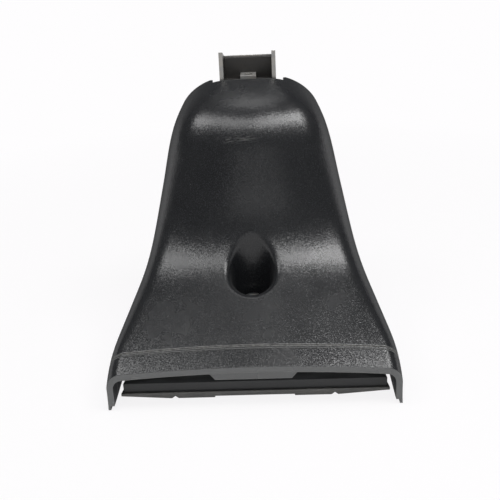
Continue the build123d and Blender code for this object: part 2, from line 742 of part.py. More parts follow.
# Nuts of the cross bolts
with BuildPart() as post_nuts:
    with BuildSketch(Plane.YZ.offset(cross_nut_seat)):
        with Locations(*cross_places):
            RegularPolygon(CROSS_HEAD_FLATS / 2, 6, major_radius=False)
            Circle(CROSS_RADIUS + SCREW_FIT, mode=Mode.SUBTRACT)
    extrude(amount=CROSS_NUT)
post_nuts.part.label = "post_nuts"
export_step(post_nuts.part, "parts/post_nuts.step")

# Washers under the heads and the nuts of the cross bolts
with BuildPart() as post_washers:
    for washer_start in (-cross_nut_seat, CHEEK_OUTER):
        with BuildSketch(Plane.YZ.offset(washer_start)):
            with Locations(*cross_places):
                Circle(CROSS_WASHER_RADIUS)
                Circle(CROSS_RADIUS + CROSS_HOLE_GAP, mode=Mode.SUBTRACT)
        extrude(amount=CROSS_WASHER)
post_washers.part.label = "post_washers"
export_step(post_washers.part, "parts/post_washers.step")

# Tubes on the cross bolts that keep the flanges apart
with BuildPart() as post_spacers:
    with BuildSketch(Plane.YZ.offset(-POST_INNER_HALF)):
        with Locations(*cross_places):
            Circle(SPACER_RADIUS)
            Circle(CROSS_RADIUS + CROSS_HOLE_GAP, mode=Mode.SUBTRACT)
    extrude(amount=POST_INNER_HALF * 2)
post_spacers.part.label = "post_spacers"
export_step(post_spacers.part, "parts/post_spacers.step")


def set_screws(places, seat, side, radius, reach, head_radius, head):
    """Makes round-headed screws at places of one seat height, their heads on one side of it."""
    with BuildPart(mode=Mode.PRIVATE) as screws:
        with BuildSketch(Plane.XY.offset(seat)):
            with Locations(*places):
                Circle(radius)
        extrude(amount=-side * reach)
        with BuildSketch(Plane.XY.offset(seat)):
            with Locations(*places):
                Circle(head_radius)
        extrude(amount=side * head)
        with BuildSketch(Plane.XY.offset(seat + side * head)):
            with Locations(*places):
                RegularPolygon(SCREW_DRIVE_FLATS / 2, 6, major_radius=False)
        extrude(amount=-side * SCREW_DRIVE_DEPTH, mode=Mode.SUBTRACT)
    return screws.part


# Screws from below into the posts of the hood
with BuildPart() as cover_screws:
    add(
        set_screws(
            boss_places,
            PLATE_BOTTOM,
            -1,
            COVER_SCREW_RADIUS,
            PLATE_THICK + COVER_SCREW_REACH,
            COVER_SCREW_HEAD_RADIUS,
            COVER_SCREW_HEAD,
        )
    )
cover_screws.part.label = "cover_screws"
export_step(cover_screws.part, "parts/cover_screws.step")

# Screws from above that hold the carrier
with BuildPart() as shoe_screws:
    add(
        set_screws(
            shoe_screw_places,
            PLATE_TOP,
            1,
            SHOE_SCREW_RADIUS,
            PLATE_THICK + SHOE_SCREW_REACH,
            SHOE_SCREW_HEAD_RADIUS,
            SHOE_SCREW_HEAD,
        )
    )
shoe_screws.part.label = "shoe_screws"
export_step(shoe_screws.part, "parts/shoe_screws.step")
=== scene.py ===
"""Looks of a roof bar foot: a grained hood round a steel post, on a carrier shoe with a rubber sole.

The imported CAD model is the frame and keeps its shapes. The classes below give each sub-assembly the
finish of the real one, and the studio adds the floor, the light and the camera.
"""

import logging
import math
from dataclasses import dataclass
from enum import Enum

import bpy
from mathutils import Matrix, Vector


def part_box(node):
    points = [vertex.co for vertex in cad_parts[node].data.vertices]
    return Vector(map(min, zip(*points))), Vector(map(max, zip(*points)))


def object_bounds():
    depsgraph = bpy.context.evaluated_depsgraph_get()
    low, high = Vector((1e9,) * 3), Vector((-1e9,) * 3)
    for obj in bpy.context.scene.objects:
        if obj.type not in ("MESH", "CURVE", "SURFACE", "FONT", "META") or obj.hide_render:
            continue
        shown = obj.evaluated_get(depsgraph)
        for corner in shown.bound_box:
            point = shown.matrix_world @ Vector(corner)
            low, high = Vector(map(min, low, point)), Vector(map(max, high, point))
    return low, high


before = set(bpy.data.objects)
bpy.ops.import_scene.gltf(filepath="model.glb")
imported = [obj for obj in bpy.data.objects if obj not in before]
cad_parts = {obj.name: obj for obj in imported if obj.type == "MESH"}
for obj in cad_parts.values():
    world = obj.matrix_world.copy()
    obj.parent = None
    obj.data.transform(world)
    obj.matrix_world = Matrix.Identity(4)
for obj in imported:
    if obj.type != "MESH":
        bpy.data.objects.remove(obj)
cad_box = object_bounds()

MM = 0.001
LOG = logging.getLogger("roof_bar_foot")

Tree = bpy.types.NodeTree
Socket = bpy.types.NodeSocket

# Cosines between the true and the rounded surface normal: where an edge starts to be worn, and is worn most.
WEAR_START = 0.985
WEAR_FULL = 0.82


class Making(Enum):
    """How a steel piece was formed; the value is the length of its surface lines to their width."""

    ROLLED = 25.0
    TURNED = 1.0


def linear(code: str) -> tuple[float, float, float, float]:
    """Turns an sRGB hex colour into linear light.

    Args:
        code: The colour as "#rrggbb".

    Returns:
        Red, green, blue and an alpha of one.
    """
    parts = [int(code[i:i + 2], 16) / 255 for i in (1, 3, 5)]
    light = [p / 12.92 if p <= 0.04045 else ((p + 0.055) / 1.055) ** 2.4 for p in parts]
    return (*light, 1.0)


def per_metre(size_mm: float) -> float:
    """Gives the texture scale at which one cell of a pattern is size_mm across."""
    return 1 / (size_mm * MM)


def add_node(tree: Tree, kind: str, settings: dict | None = None,
             inputs: dict | None = None) -> bpy.types.Node:
    """Adds one node with its settings and links.

    Args:
        tree: The node tree that takes the node.
        kind: The node's type name.
        settings: Attribute values by name.
        inputs: What each input takes, by name or number: another node's output, or a value.

    Returns:
        The new node.
    """
    node = tree.nodes.new(kind)
    for name, value in (settings or {}).items():
        setattr(node, name, value)
    for key, value in (inputs or {}).items():
        if isinstance(value, Socket):
            tree.links.new(value, node.inputs[key])
        else:
            node.inputs[key].default_value = value
    return node


def overlaid(tree: Tree, below: str | Socket, above: str, pattern: Socket, start: float = 0.0,
             full: float = 1.0, most: float = 1.0) -> Socket:
    """Lays a colour over another one where a pattern is strong.

    Args:
        tree: The node tree.
        below: The colour below, as hex or from another node.
        above: The colour on top, as hex.
        pattern: Says where the colour on top shows.
        start: The pattern's value at which it starts to show.
        full: The pattern's value at which it shows most.
        most: How much of the colour below it hides there, from 0 to 1.

    Returns:
        The colour of both.
    """
    share = add_node(tree, "ShaderNodeMapRange", {}, {
        "Value": pattern, "From Min": start, "From Max": full, "To Max": most}).outputs["Result"]
    ground = linear(below) if isinstance(below, str) else below
    return add_node(tree, "ShaderNodeMix", {"data_type": "RGBA"},
                    {0: share, 6: ground, 7: linear(above)}).outputs[2]


def edges(tree: Tree, radius_mm: float) -> tuple[Socket, Socket]:
    """Finds the rounded edges of a piece and the band along them that wears.

    Args:
        tree: The node tree.
        radius_mm: How far the rounding reaches from an edge.

    Returns:
        The rounded surface normal, and a mask that is 1 on the edges.
    """
    soft = add_node(tree, "ShaderNodeBevel", {"samples": 8}, {"Radius": radius_mm * MM}).outputs["Normal"]
    true = add_node(tree, "ShaderNodeNewGeometry").outputs["Normal"]
    alike = add_node(tree, "ShaderNodeVectorMath", {"operation": "DOT_PRODUCT"},
                     {0: soft, 1: true}).outputs["Value"]
    wear = add_node(tree, "ShaderNodeMapRange", {}, {
        "Value": alike, "From Min": WEAR_START, "From Max": WEAR_FULL}).outputs["Result"]
    return soft, wear


@dataclass(frozen=True)
class Finish:
    """A surface as it was made, with the colours and sizes that the eye reads.

    Args:
        name: The material's name.
    """

    name: str

    def shader(self, tree: Tree, where: Socket) -> Socket:
        """Lays out the surface; each finish has its own way.

        Args:
            tree: The material's node tree.
            where: The object coordinates.

        Returns:
            The shader.
        """
        raise NotImplementedError

    def material(self) -> bpy.types.Material:
        """Builds the material.

        Returns:
            The material.
        """
        made = bpy.data.materials.new(self.name)
        made.use_nodes = True
        tree = made.node_tree
        tree.nodes.clear()
        where = add_node(tree, "ShaderNodeTexCoord").outputs["Object"]
        add_node(tree, "ShaderNodeOutputMaterial", {}, {"Surface": self.shader(tree, where)})
        return made


@dataclass(frozen=True)
class GrainedPlastic(Finish):
    """Black polypropylene moulded against a spark-eroded tool.

    The tool leaves a fine pebble grain: it breaks every highlight into speckles and keeps the rest
    a soft charcoal. Handling polishes the grain a little along the edges, and they are drawn a shade lighter
    both for that and as a painted highlight of their glints.
    The two edges of the scored line carry a painted highlight in patches, a few specks of lint lie about,
    and the key has rubbed one spot.
    The real pebbles are about 0.25 mm, too fine to show here, and are drawn about twice as coarse.

    Args:
        body: The plastic between the pebbles.
        pebble: The tops of the pebbles.
        worn: The edges, lighter from polish and from a painted highlight.
        painted_front_light: The paler colour painted on the end faces that face the front, as painted light
            from the front.
        ior: The plastic's refractive index.
        grain_mm: A pebble's size.
        grain_slope: How steep the pebbles are.
        cloud_mm: The size of the glossier and duller patches.
        sheen: The roughness of the glossier patches.
        dull: The roughness of the duller patches.
        hidden: The roughness where the surface is seen from the side.
        edge_mm: How far the edges are rounded and worn.
        end_mm: How far behind the front those painted end faces may lie.
        end_blend_mm: The depth over which their painted light gives way to the grain.
        pocket_at_mm: The middle of the key pocket.
        pocket_reach_mm: How far round it the edges are softer.
        pocket_core: The share of that reach in which they are softest.
        pocket_edge_mm: How far the edges are rounded there.
        score_highlight: The painted highlight on the edges of the scored line.
        score_patch_mm: The size of its patches.
        score_mm: How far behind the front the two edges of the scored line are.
        score_half_mm: Half the width of the painted highlight on an edge.
        rubbed: The rubbed spot.
        rub_at_mm: The middle of the spot.
        rub_half_mm: Half its width, depth and height.
        rub_grain_mm: The size of its streaks.
        lint: The specks of lint.
        lint_apart_mm: How far apart they lie.
        lint_half_mm: Half the size of a speck.
    """

    body: str = "#161719"
    pebble: str = "#252628"
    # Wear and painted highlight on the edges.
    worn: str = "#727372"
    # Painted light on the ends that face the front.
    painted_front_light: str = "#626363"
    ior: float = 1.5
    grain_mm: float = 0.55
    grain_slope: float = 0.36
    cloud_mm: float = 22.0
    sheen: float = 0.23
    dull: float = 0.28
    hidden: float = 0.95
    edge_mm: float = 0.6
    end_mm: float = 2.0
    end_blend_mm: float = 0.2
    pocket_at_mm: tuple[float, float, float] = (0.0, -18.0, 52.0)
    pocket_reach_mm: float = 20.0
    pocket_core: float = 0.7
    pocket_edge_mm: float = 3.0
    # Painted highlight on the scored line's edges.
    score_highlight: str = "#7e7e7b"
    score_patch_mm: float = 1.5
    score_mm: tuple[float, float] = (8.4, 9.7)
    score_half_mm: float = 0.22
    rubbed: str = "#6f6f6d"
    rub_at_mm: tuple[float, float, float] = (-5.5, 11.6, 100.2)
    rub_half_mm: tuple[float, float, float] = (12.0, 4.0, 2.4)
    rub_grain_mm: tuple[float, float, float] = (3.0, 0.8, 0.8)
    lint: str = "#8d8d8b"
    lint_apart_mm: float = 11.0
    lint_half_mm: float = 0.22

    def rounded(self, tree: Tree, where: Socket) -> Socket:
        """Rounds the edges for the light, most of all round the key pocket, which flows into the wall.

        Args:
            tree: The node tree.
            where: The object coordinates.

        Returns:
            The rounded surface normal.
        """
        away = add_node(tree, "ShaderNodeVectorMath", {"operation": "DISTANCE"}, {
            0: where, 1: Vector(self.pocket_at_mm) * MM}).outputs["Value"]
        radius = add_node(tree, "ShaderNodeMapRange", {}, {
            "Value": away, "From Min": self.pocket_reach_mm * MM,
            "From Max": self.pocket_core * self.pocket_reach_mm * MM,
            "To Min": self.edge_mm * MM, "To Max": self.pocket_edge_mm * MM}).outputs["Result"]
        return add_node(tree, "ShaderNodeBevel", {"samples": 16}, {"Radius": radius}).outputs["Normal"]

    def front_lit_faces(self, tree: Tree, where: Socket) -> Socket:
        """Finds the flat ends of the lip, the legs and the tongue that face the front, painted paler as
        painted light from the front.

        Args:
            tree: The node tree.
            where: The object coordinates.

        Returns:
            A mask that is 1 on those faces.
        """
        depth = add_node(tree, "ShaderNodeSeparateXYZ", {}, {"Vector": where}).outputs["Y"]
        normal = add_node(tree, "ShaderNodeNewGeometry").outputs["Normal"]
        facing = add_node(tree, "ShaderNodeSeparateXYZ", {}, {"Vector": normal}).outputs["Y"]
        limit = cad_box[0][1] + self.end_mm * MM
        at_end = add_node(tree, "ShaderNodeMapRange", {}, {
            "Value": depth, "From Min": limit, "From Max": limit - self.end_blend_mm * MM}).outputs["Result"]
        to_front = add_node(tree, "ShaderNodeMapRange", {}, {
            "Value": facing, "From Min": -0.6, "From Max": -0.9}).outputs["Result"]
        return add_node(tree, "ShaderNodeMath", {"operation": "MULTIPLY"},
                        {0: at_end, 1: to_front}).outputs["Value"]

    def scored(self, tree: Tree, where: Socket) -> list[Socket]:
        """Finds the two edges of the scored line above the lip, which carry a painted highlight in patches.

        Args:
            tree: The node tree.
            where: The object coordinates.

        Returns:
            A mask for each edge.
        """
        depth = add_node(tree, "ShaderNodeSeparateXYZ", {}, {"Vector": where}).outputs["Y"]
        patches = add_node(tree, "ShaderNodeTexNoise", {}, {
            "Vector": where, "Scale": per_metre(self.score_patch_mm), "Detail": 2.0}).outputs["Fac"]
        share = add_node(tree, "ShaderNodeMapRange", {}, {
            "Value": patches, "From Min": 0.3, "From Max": 0.65,
            "To Min": 0.25, "To Max": 0.8}).outputs["Result"]
        masks = []
        for edge in self.score_mm:
            line = add_node(tree, "ShaderNodeMath", {"operation": "COMPARE"}, {
                0: depth, 1: cad_box[0][1] + edge * MM, 2: self.score_half_mm * MM}).outputs["Value"]
            masks.append(add_node(tree, "ShaderNodeMath", {"operation": "MULTIPLY"},
                                  {0: line, 1: share}).outputs["Value"])
        return masks

    def rub(self, tree: Tree, where: Socket) -> Socket:
        """Finds the small patch under the shoulder where the key's handle has rubbed the grain.

        Args:
            tree: The node tree.
            where: The object coordinates.

        Returns:
            A mask of short, faint streaks.
        """
        near = add_node(tree, "ShaderNodeMapping", {"vector_type": "TEXTURE"}, {
            "Vector": where, "Location": Vector(self.rub_at_mm) * MM,
            "Scale": Vector(self.rub_half_mm) * MM}).outputs["Vector"]
        away = add_node(tree, "ShaderNodeVectorMath", {"operation": "LENGTH"}, {0: near}).outputs["Value"]
        patch = add_node(tree, "ShaderNodeMapRange", {}, {
            "Value": away, "From Min": 1.0, "From Max": 0.5}).outputs["Result"]
        fine = add_node(tree, "ShaderNodeMapping", {"vector_type": "TEXTURE"}, {
            "Vector": where, "Scale": Vector(self.rub_grain_mm) * MM}).outputs["Vector"]
        noise = add_node(tree, "ShaderNodeTexNoise", {}, {
            "Vector": fine, "Scale": 1.0, "Detail": 3.0}).outputs["Fac"]
        streaks = add_node(tree, "ShaderNodeMapRange", {}, {
            "Value": noise, "From Min": 0.46, "From Max": 0.74, "To Max": 0.45}).outputs["Result"]
        return add_node(tree, "ShaderNodeMath", {"operation": "MULTIPLY"},
                        {0: patch, 1: streaks}).outputs["Value"]

    def colour(self, tree: Tree, where: Socket, grain: Socket) -> Socket:
        """Colours the plastic: grain, painted light on the front-facing ends, edges lighter from wear and
        painted highlight, painted highlights on the scored line, rubs and lint.

        Args:
            tree: The node tree.
            where: The object coordinates.
            grain: The height of the grain.

        Returns:
            The colour.
        """
        wear = edges(tree, self.edge_mm)[1]
        colour = overlaid(tree, self.body, self.pebble, grain, 0.45, 0.75)
        # Painted light: the flat ends that face the front are drawn paler, standing in for the light that
        # reaches them from the front.
        colour = overlaid(tree, colour, self.painted_front_light, self.front_lit_faces(tree, where))
        # Partly wear, partly painted highlight: the edges are drawn lighter, standing in for their glints as
        # well as the polish.
        colour = overlaid(tree, colour, self.worn, wear, 0.2, most=0.7)
        # Painted highlight: a paler line in patches along both edges of the scored line, standing in for the
        # light they catch.
        for line in self.scored(tree, where):
            colour = overlaid(tree, colour, self.score_highlight, line)
        colour = overlaid(tree, colour, self.rubbed, self.rub(tree, where))
        lint = add_node(tree, "ShaderNodeTexVoronoi", {}, {
            "Vector": where, "Scale": per_metre(self.lint_apart_mm)}).outputs["Distance"]
        size = self.lint_half_mm / self.lint_apart_mm
        return overlaid(tree, colour, self.lint, lint, size, size / 2)

    def pitted(self, tree: Tree, soft: Socket, grain: Socket) -> Socket:
        """Tilts the surface from pebble to pebble.

        Args:
            tree: The node tree.
            soft: The surface normal with rounded edges.
            grain: The lean of the pebbles, as a colour.

        Returns:
            The surface normal of the grain.
        """
        lean = add_node(tree, "ShaderNodeVectorMath", {"operation": "SUBTRACT"},
                        {0: grain, 1: (0.5, 0.5, 0.5)}).outputs["Vector"]
        tilted = add_node(tree, "ShaderNodeVectorMath", {"operation": "MULTIPLY_ADD"},
                          {0: lean, 1: (self.grain_slope,) * 3, 2: soft}).outputs["Vector"]
        return add_node(tree, "ShaderNodeVectorMath", {"operation": "NORMALIZE"},
                        {0: tilted}).outputs["Vector"]

    def roughness(self, tree: Tree, where: Socket, soft: Socket) -> Socket:
        """Varies the gloss in clouds and takes it off where the surface is seen from the side.

        Args:
            tree: The node tree.
            where: The object coordinates.
            soft: The surface normal with rounded edges.

        Returns:
            The roughness.
        """
        cloud = add_node(tree, "ShaderNodeTexNoise", {}, {
            "Vector": where, "Scale": per_metre(self.cloud_mm), "Detail": 3.0}).outputs["Fac"]
        patches = add_node(tree, "ShaderNodeMapRange", {}, {
            "Value": cloud, "From Min": 0.35, "From Max": 0.65,
            "To Min": self.sheen, "To Max": self.dull}).outputs["Result"]
        # Seen along the surface, the pebbles hide each other's glossy tops, so the gloss goes.
        along = add_node(tree, "ShaderNodeLayerWeight", {}, {"Blend": 0.5, "Normal": soft}).outputs["Facing"]
        from_side = add_node(tree, "ShaderNodeMapRange", {}, {
            "Value": along, "From Min": 0.4, "From Max": 0.9,
            "To Min": self.sheen, "To Max": self.hidden}).outputs["Result"]
        return add_node(tree, "ShaderNodeMath", {"operation": "MAXIMUM"},
                        {0: patches, 1: from_side}).outputs["Value"]

    def shader(self, tree: Tree, where: Socket) -> Socket:
        """Lays out the grained plastic.

        Args:
            tree: The material's node tree.
            where: The object coordinates.

        Returns:
            The shader.
        """
        grain = add_node(tree, "ShaderNodeTexNoise", {}, {
            "Vector": where, "Scale": per_metre(self.grain_mm), "Detail": 1.0, "Roughness": 0.6}).outputs
        soft = self.rounded(tree, where)
        return add_node(tree, "ShaderNodeBsdfPrincipled", {}, {
            "Base Color": self.colour(tree, where, grain["Fac"]), "IOR": self.ior,
            "Normal": self.pitted(tree, soft, grain["Color"]),
            "Roughness": self.roughness(tree, where, soft)}).outputs["BSDF"]


@dataclass(frozen=True)
class MouldedPolyamide(Finish):
    """Glass-filled black polyamide, moulded in a plain polished tool.

    The glass fibres come to the surface in faint streaks along the flow, so the black is slightly
    cloudy and its gloss uneven. The fibres themselves are too fine to show and are drawn coarser.

    Args:
        body: The plastic between the fibres.
        streak: The streaks of fibres.
        worn: The polished edges.
        ior: The plastic's refractive index.
        streak_mm: A streak's width.
        stretch: A streak's width to its length.
        streak_depth_mm: How far the streaks stand out.
        sheen: The roughness of the glossier places.
        dull: The roughness of the duller places.
        edge_mm: How far the edges are rounded and worn.
    """

    body: str = "#202122"
    streak: str = "#2f3031"
    worn: str = "#505152"
    ior: float = 1.53
    streak_mm: float = 1.6
    stretch: float = 0.15
    streak_depth_mm: float = 0.02
    sheen: float = 0.42
    dull: float = 0.60
    edge_mm: float = 0.4

    def shader(self, tree: Tree, where: Socket) -> Socket:
        """Lays out the fibre-filled plastic.

        Args:
            tree: The material's node tree.
            where: The object coordinates.

        Returns:
            The shader.
        """
        flow = add_node(tree, "ShaderNodeMapping", {}, {
            "Vector": where, "Scale": (self.stretch, 1.0, 1.0)}).outputs["Vector"]
        streaks = add_node(tree, "ShaderNodeTexNoise", {}, {
            "Vector": flow, "Scale": per_metre(self.streak_mm), "Detail": 4.0}).outputs["Fac"]
        soft, wear = edges(tree, self.edge_mm)
        colour = overlaid(tree, self.body, self.streak, streaks, 0.4, 0.7)
        colour = overlaid(tree, colour, self.worn, wear, 0.2, most=0.6)
        bump = add_node(tree, "ShaderNodeBump", {}, {
            "Height": streaks, "Strength": 0.2, "Distance": self.streak_depth_mm * MM,
            "Normal": soft}).outputs["Normal"]
        gloss = add_node(tree, "ShaderNodeMapRange", {}, {
            "Value": streaks, "From Min": 0.35, "From Max": 0.65,
            "To Min": self.sheen, "To Max": self.dull}).outputs["Result"]
        return add_node(tree, "ShaderNodeBsdfPrincipled", {}, {
            "Base Color": colour, "Normal": bump, "IOR": self.ior, "Roughness": gloss}).outputs["BSDF"]


@dataclass(frozen=True)
class MouldedRubber(Finish):
    """Black EPDM rubber, pressed in a bead-blasted mould.

    It hardly shines. Its greys are painted light: the rubber is drawn far paler than black, standing in
    for the light on the pad's front, with a paler bloom in patches and paler edges. The blasted
    skin is too fine to show here and is drawn coarser.

    Args:
        body: The rubber, drawn far paler than black as painted light.
        bloom: The patches of bloom.
        worn: The edges.
        ior: The rubber's refractive index.
        skin_mm: The size of the skin's dimples.
        skin_depth_mm: Their depth.
        cloud_mm: The size of the patches of bloom.
        sheen: The roughness of the glossier patches.
        dull: The roughness of the duller patches.
        edge_mm: How far the edges are rounded and worn.
    """

    # Painted light: far paler than black rubber.
    body: str = "#686866"
    bloom: str = "#7e7d7a"
    worn: str = "#92908c"
    ior: float = 1.5
    skin_mm: float = 0.5
    skin_depth_mm: float = 0.04
    cloud_mm: float = 9.0
    sheen: float = 0.48
    dull: float = 0.66
    edge_mm: float = 0.7

    def shader(self, tree: Tree, where: Socket) -> Socket:
        """Lays out the rubber.

        Args:
            tree: The material's node tree.
            where: The object coordinates.

        Returns:
            The shader.
        """
        skin = add_node(tree, "ShaderNodeTexNoise", {}, {
            "Vector": where, "Scale": per_metre(self.skin_mm), "Detail": 2.0}).outputs["Fac"]
        cloud = add_node(tree, "ShaderNodeTexNoise", {}, {
            "Vector": where, "Scale": per_metre(self.cloud_mm), "Detail": 4.0}).outputs["Fac"]
        soft, wear = edges(tree, self.edge_mm)
        # Painted light: all these greys are far paler than black rubber, standing in for the light on the
        # pad's front.
        colour = overlaid(tree, self.body, self.bloom, cloud, 0.45, 0.75)
        colour = overlaid(tree, colour, self.worn, wear, 0.15, most=0.7)
        bump = add_node(tree, "ShaderNodeBump", {}, {
            "Height": skin, "Strength": 0.4, "Distance": self.skin_depth_mm * MM,
            "Normal": soft}).outputs["Normal"]
        gloss = add_node(tree, "ShaderNodeMapRange", {}, {
            "Value": cloud, "From Min": 0.3, "From Max": 0.7,
            "To Min": self.sheen, "To Max": self.dull}).outputs["Result"]
        return add_node(tree, "ShaderNodeBsdfPrincipled", {}, {
            "Base Color": colour, "Normal": bump, "IOR": self.ior, "Roughness": gloss}).outputs["BSDF"]


@dataclass(frozen=True)
class ZincPlate(Finish):
    """Steel with bright electroplated zinc and a clear passivation.

    The coat is a cool light grey with faint cloudy blue and straw tints. Rolled sheet keeps the mill's
    fine lines lengthways under it, drawn coarser than they are so that they show; turned and pressed
    fasteners only have the clouds.

    Args:
        coat: The plating.
        cool: Its bluish clouds.
        straw: Its straw clouds.
        worn: The polished edges.
        making: How the piece was formed.
        line_mm: A mill line's width.
        line_depth_mm: A mill line's depth.
        cloud_mm: The size of the clouds.
        sheen: The roughness of the brighter clouds.
        dull: The roughness of the duller clouds.
        edge_mm: How far the edges are rounded and worn.
    """

    coat: str = "#979591"
    cool: str = "#8d8f92"
    straw: str = "#979188"
    worn: str = "#adaba8"
    making: Making = Making.ROLLED
    line_mm: float = 0.35
    line_depth_mm: float = 0.012
    cloud_mm: float = 7.0
    sheen: float = 0.28
    dull: float = 0.46
    edge_mm: float = 0.35

    def shader(self, tree: Tree, where: Socket) -> Socket:
        """Lays out the plated steel.

        Args:
            tree: The material's node tree.
            where: The object coordinates.

        Returns:
            The shader.
        """
        rolled = add_node(tree, "ShaderNodeMapping", {}, {
            "Vector": where, "Scale": (1.0, 1.0, 1 / self.making.value)}).outputs["Vector"]
        lines = add_node(tree, "ShaderNodeTexNoise", {}, {
            "Vector": rolled, "Scale": per_metre(self.line_mm), "Detail": 2.0}).outputs["Fac"]
        cloud = add_node(tree, "ShaderNodeTexNoise", {}, {
            "Vector": where, "Scale": per_metre(self.cloud_mm), "Detail": 5.0,
            "Distortion": 0.6}).outputs["Fac"]
        soft, wear = edges(tree, self.edge_mm)
        colour = overlaid(tree, self.coat, self.cool, cloud, 0.5, 0.7, 0.7)
        colour = overlaid(tree, colour, self.straw, cloud, 0.45, 0.3, 0.6)
        colour = overlaid(tree, colour, self.worn, wear, 0.2, most=0.8)
        bump = add_node(tree, "ShaderNodeBump", {}, {
            "Height": lines, "Strength": 0.3, "Distance": self.line_depth_mm * MM,
            "Normal": soft}).outputs["Normal"]
        gloss = add_node(tree, "ShaderNodeMapRange", {}, {
            "Value": cloud, "From Min": 0.3, "From Max": 0.7,
            "To Min": self.sheen, "To Max": self.dull}).outputs["Result"]
        return add_node(tree, "ShaderNodeBsdfPrincipled", {}, {
            "Base Color": colour, "Normal": bump, "Metallic": 1.0, "Roughness": gloss}).outputs["BSDF"]


@dataclass(frozen=True)
class PalePaper(Finish):
    """Uncoated white paper, hung as a sweep.

    It is matt and even. It keeps a faint shadow round the object and fades to plain white further off.

    Args:
        pale: The paper as it takes the lamps' light.
        white: The paper as it shows where it is washed out.
        glow: How washed out it is beside the object, from 0 to 1.
        fade_from_mm: How far from the object the shadow starts to fade.
        fade_to_mm: How far from the object it has gone.
    """

    pale: str = "#f6f6f6"
    white: str = "#fefdfe"
    glow: float = 0.88
    fade_from_mm: float = 120.0
    fade_to_mm: float = 420.0

    def shader(self, tree: Tree, where: Socket) -> Socket:
        """Lays out the paper.

        Args:
            tree: The material's node tree.
            where: The object coordinates.

        Returns:
            The shader.
        """
        away = add_node(tree, "ShaderNodeVectorMath", {"operation": "LENGTH"}, {0: where}).outputs["Value"]
        washed = add_node(tree, "ShaderNodeMapRange", {}, {
            "Value": away, "From Min": self.fade_from_mm * MM, "From Max": self.fade_to_mm * MM,
            "To Min": self.glow}).outputs["Result"]
        # The white is only seen, directly or mirrored, and lights nothing: the lamps do that.
        path = add_node(tree, "ShaderNodeLightPath").outputs
        seen = path["Is Camera Ray"]
        for ray in ("Is Glossy Ray", "Is Transmission Ray"):
            seen = add_node(tree, "ShaderNodeMath", {"operation": "MAXIMUM"},
                            {0: seen, 1: path[ray]}).outputs["Value"]
        share = add_node(tree, "ShaderNodeMath", {"operation": "MULTIPLY"},
                         {0: washed, 1: seen}).outputs["Value"]
        pale = add_node(tree, "ShaderNodeBsdfDiffuse", {}, {"Color": linear(self.pale)}).outputs["BSDF"]
        white = add_node(tree, "ShaderNodeEmission", {}, {
            "Color": linear(self.white), "Strength": 1.0}).outputs["Emission"]
        return add_node(tree, "ShaderNodeMixShader", {}, {0: share, 1: pale, 2: white}).outputs["Shader"]


def dress_node(node: str, finish: bpy.types.Material, sharp_deg: float = 25.0) -> None:
    """Gives a CAD node its finish and shades its round faces smooth.

    Args:
        node: The node's name.
        finish: The material.
        sharp_deg: The angle between faces above which an edge stays sharp.
    """
    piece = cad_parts[node]
    piece.data.materials.clear()
    piece.data.materials.append(finish)
    piece.data.shade_smooth()
    piece.data.set_sharp_from_angle(angle=math.radians(sharp_deg))
    low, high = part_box(node)
    size = ", ".join(f"{(b - a) / MM:.1f}" for a, b in zip(low, high))
    LOG.info("%s: %s, %s mm", node, finish.name, size)


@dataclass
class Hood:
    """The moulded hood that hides the clamp, with its key pocket."""

    shell: GrainedPlastic = GrainedPlastic("polypropylene_spark_eroded_grain")

    def dress(self) -> None:
        """Gives the hood its grained plastic."""
        dress_node("cover", self.shell.material())


@dataclass
class Shoe:
    """What stands on the roof: the carrier shoe on its rubber sole, and the bent bracket above it."""

    carrier: MouldedPolyamide = MouldedPolyamide("polyamide_glass_filled_moulded")
    sole: MouldedRubber = MouldedRubber("rubber_epdm_moulded")
    sheet: ZincPlate = ZincPlate("steel_sheet_zinc_plated_bracket")
    fastener: ZincPlate = ZincPlate("steel_screw_zinc_plated", making=Making.TURNED, sheen=0.24)

    def dress(self) -> None:
        """Gives the shoe, its sole, the bracket and their screws the finishes."""
        dress_node("shoe", self.carrier.material())
        dress_node("roof_pad", self.sole.material())
        dress_node("base_bracket", self.sheet.material())
        fastener = self.fastener.material()
        for node in ("cover_screws", "shoe_screws"):
            dress_node(node, fastener)


@dataclass
class Post:
    """The folded steel upright that carries the bar, with the square nut in its plastic holder."""

    sheet: ZincPlate = ZincPlate("steel_sheet_zinc_plated_folded")
    insert: MouldedPolyamide = MouldedPolyamide("polyamide_moulded_insert", body="#1c1a18", streak="#2a2724")
    # Painted light: the nut's zinc is paler than the other zinc, standing in for the light on its front
    # face.
    nut: ZincPlate = ZincPlate("steel_nut_zinc_tumbled_painted_light", making=Making.TURNED, coat="#b4b2ae",
                               cool="#a9abad", straw="#b3ada3", sheen=0.5, dull=0.62)
    fastener: ZincPlate = ZincPlate("steel_fastener_zinc_plated", making=Making.TURNED, sheen=0.24)

    def dress(self) -> None:
        """Gives the post, the holder and the fasteners their finishes."""
        dress_node("post", self.sheet.material())
        dress_node("nut_holder", self.insert.material())
        dress_node("bar_nut", self.nut.material())
        fastener = self.fastener.material()
        for node in ("holder_pin", "post_bolts", "post_nuts", "post_washers", "post_spacers"):
            dress_node(node, fastener)


@dataclass
class ClampScrew:
    """The captive screw in the key pocket, with its washer and the bush that guides it."""

    steel: ZincPlate = ZincPlate("stainless_steel_turned", making=Making.TURNED, coat="#a6a6a4",
                                 cool="#9b9ea2", straw="#a39f98", sheen=0.22, dull=0.34)
    guide: MouldedPolyamide = MouldedPolyamide("polyamide_moulded_bush", body="#141414", streak="#1f1f1f")

    def dress(self) -> None:
        """Gives the screw, the washer and the bush their finishes."""
        steel = self.steel.material()
        for node in ("fixing_screw", "screw_washer"):
            dress_node(node, steel)
        dress_node("screw_bush", self.guide.material())


